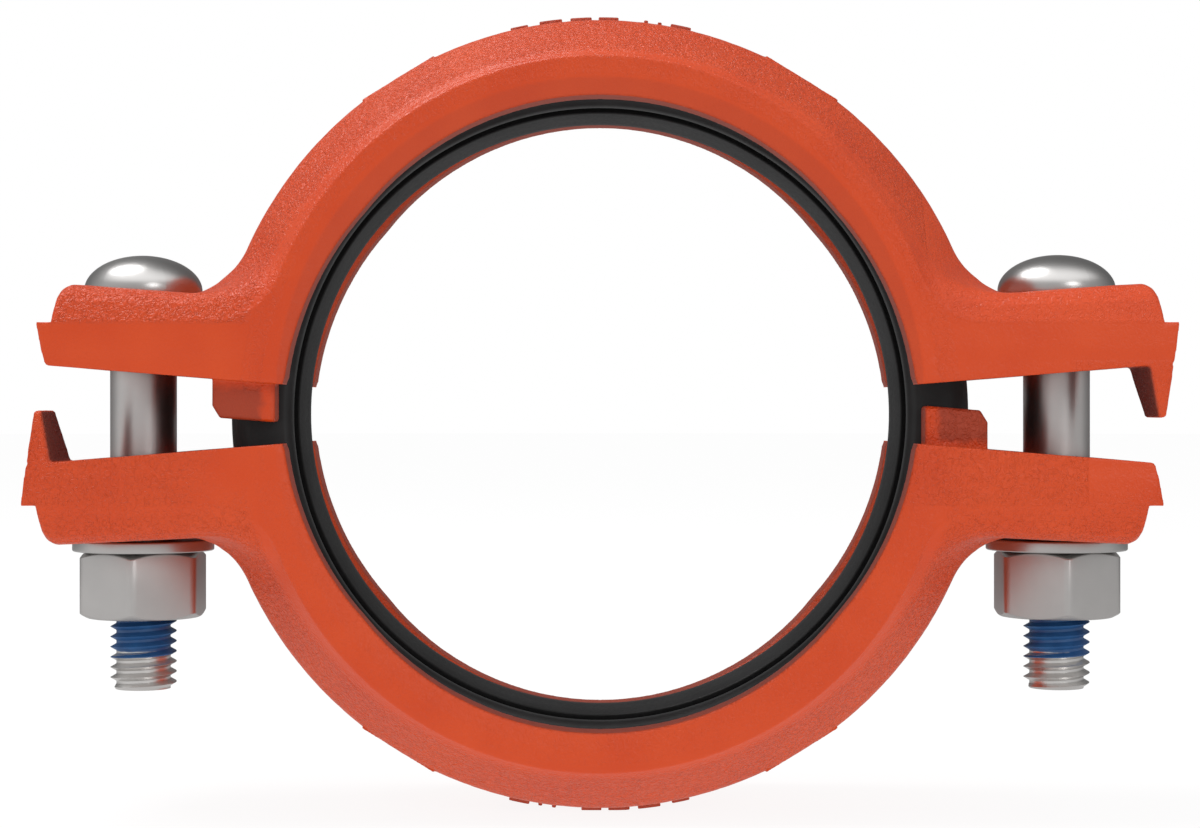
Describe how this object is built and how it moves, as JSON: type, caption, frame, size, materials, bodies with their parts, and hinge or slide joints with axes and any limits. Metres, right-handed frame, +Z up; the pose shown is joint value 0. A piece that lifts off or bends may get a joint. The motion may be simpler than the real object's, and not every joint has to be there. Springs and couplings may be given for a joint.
{
  "type": "grooved pipe coupling",
  "caption": "Rigid grooved pipe coupling: two bolted orange housings with keys round a C section gasket, in its open state as delivered.",
  "frame": {"origin": "on the pipe's axis, halfway between the two housings and halfway along them", "axes": "+X across the bolt pads to the right, +Y along the pipe away from the side with the hooks, +Z up through the upper housing, the way the bolt heads point"},
  "size_m": [0.2106, 0.0536, 0.148],
  "materials": {
    "orange_paint": "orange enamel over a sand cast skin",
    "black_rubber": "satin moulded rubber",
    "zinc_steel": "zinc plated steel"
  },
  "bodies": {
    "upper_half": {"upper_housing": "orange_paint", "left_bolt": "zinc_steel", "right_bolt": "zinc_steel"},
    "lower_half": {"lower_housing": "orange_paint", "left_washer": "zinc_steel", "right_washer": "zinc_steel"},
    "seal": {"gasket": "black_rubber"},
    "left_nut": {"left_nut": "zinc_steel"},
    "right_nut": {"right_nut": "zinc_steel"}
  },
  "joints": [
    {"name": "housing_close", "type": "slide", "parent": "upper_half", "child": "lower_half", "axis": [0, 0, 1], "range_m": [0, 0.0106], "deforming": ["gasket"]},
    {"name": "gasket_seat", "type": "slide", "parent": "upper_half", "child": "seal", "axis": [0, 0, 1], "range_m": [0, 0.0053]},
    {"name": "left_nut_turn", "type": "hinge", "parent": "lower_half", "child": "left_nut", "pos_m": [-0.0881, 0, -0.0327], "axis": [0, 0, 1], "range_deg": [0, 1953.1]},
    {"name": "right_nut_turn", "type": "hinge", "parent": "lower_half", "child": "right_nut", "pos_m": [0.0881, 0, -0.0326], "axis": [0, 0, 1], "range_deg": [0, 1953.1]}
  ],
  "couplings": [
    {"joint": "gasket_seat", "follows": "housing_close", "ratio": 0.5},
    {"joint": "left_nut_turn", "follows": "housing_close", "rad_per_m": 3215.8},
    {"joint": "right_nut_turn", "follows": "housing_close", "rad_per_m": 3215.8}
  ]
}
